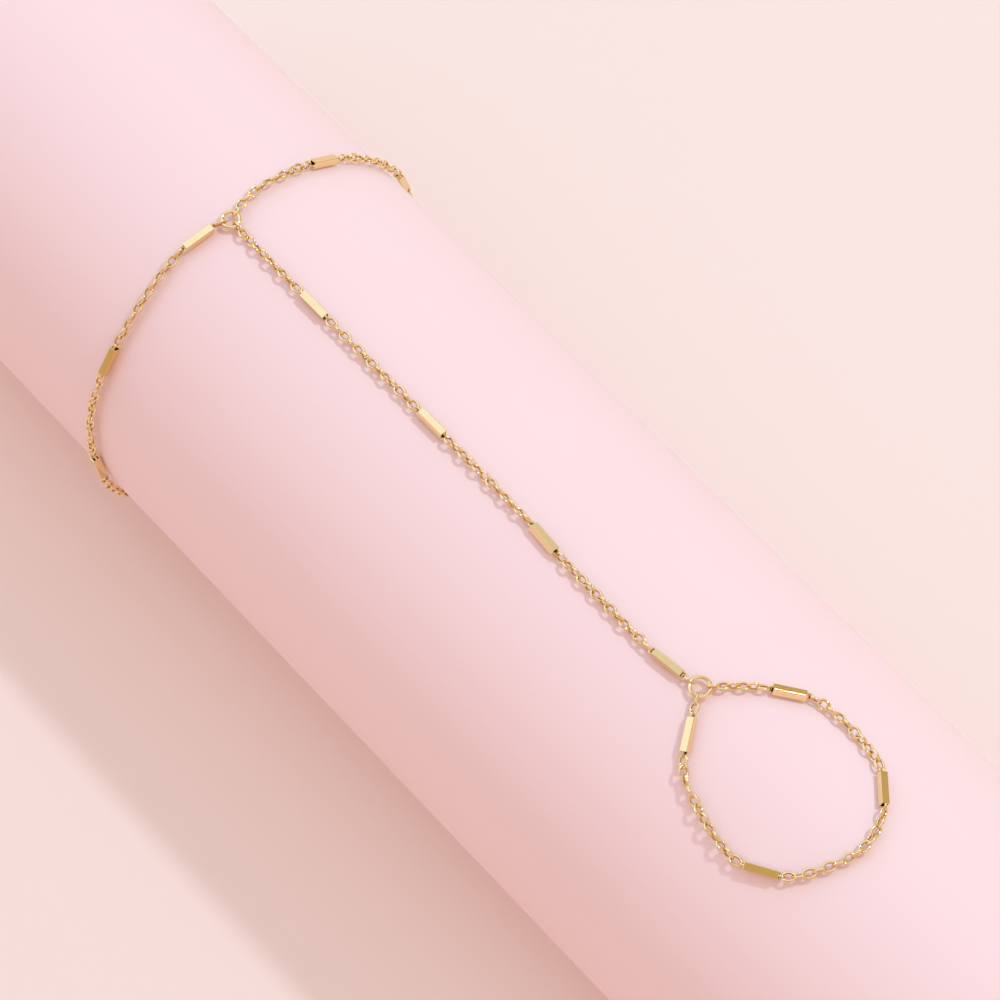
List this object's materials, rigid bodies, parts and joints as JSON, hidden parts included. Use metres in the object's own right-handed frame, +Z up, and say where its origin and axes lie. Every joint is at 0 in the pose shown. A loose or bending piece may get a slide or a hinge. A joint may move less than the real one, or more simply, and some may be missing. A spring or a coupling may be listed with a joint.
{
  "type": "hand chain bracelet on a display roll",
  "caption": "Hand chain of fine oval links and square bars: a wrist loop, a strand over the hand and a finger loop, laid on a plain round roll.",
  "frame": {"origin": "middle of the roll's flat underside", "axes": "+X along the roll from the wrist end to the finger end, +Z up"},
  "size_m": [0.196, 0.0571, 0.0547],
  "materials": {
    "roll": "smooth satin blush pink",
    "gold_bars": "polished yellow gold plate",
    "gold_links": "polished yellow gold plate"
  },
  "bodies": {
    "root": {"display_roll": "roll", "wrist_ring": "gold_links", "finger_ring": "gold_links", "wrist_clasp": "gold_bars", "wrist_chain": "gold_links", "hand_chain": "gold_links", "finger_chain": "gold_links", "wrist_bar_1": "gold_bars", "wrist_bar_2": "gold_bars", "wrist_bar_3": "gold_bars", "wrist_bar_4": "gold_bars", "wrist_bar_5": "gold_bars", "wrist_bar_6": "gold_bars", "wrist_bar_7": "gold_bars", "wrist_bar_8": "gold_bars", "hand_bar_1": "gold_bars", "hand_bar_2": "gold_bars", "hand_bar_3": "gold_bars", "hand_bar_4": "gold_bars", "finger_bar_1": "gold_bars", "finger_bar_2": "gold_bars", "finger_bar_3": "gold_bars", "finger_bar_4": "gold_bars"}
  },
  "joints": []
}
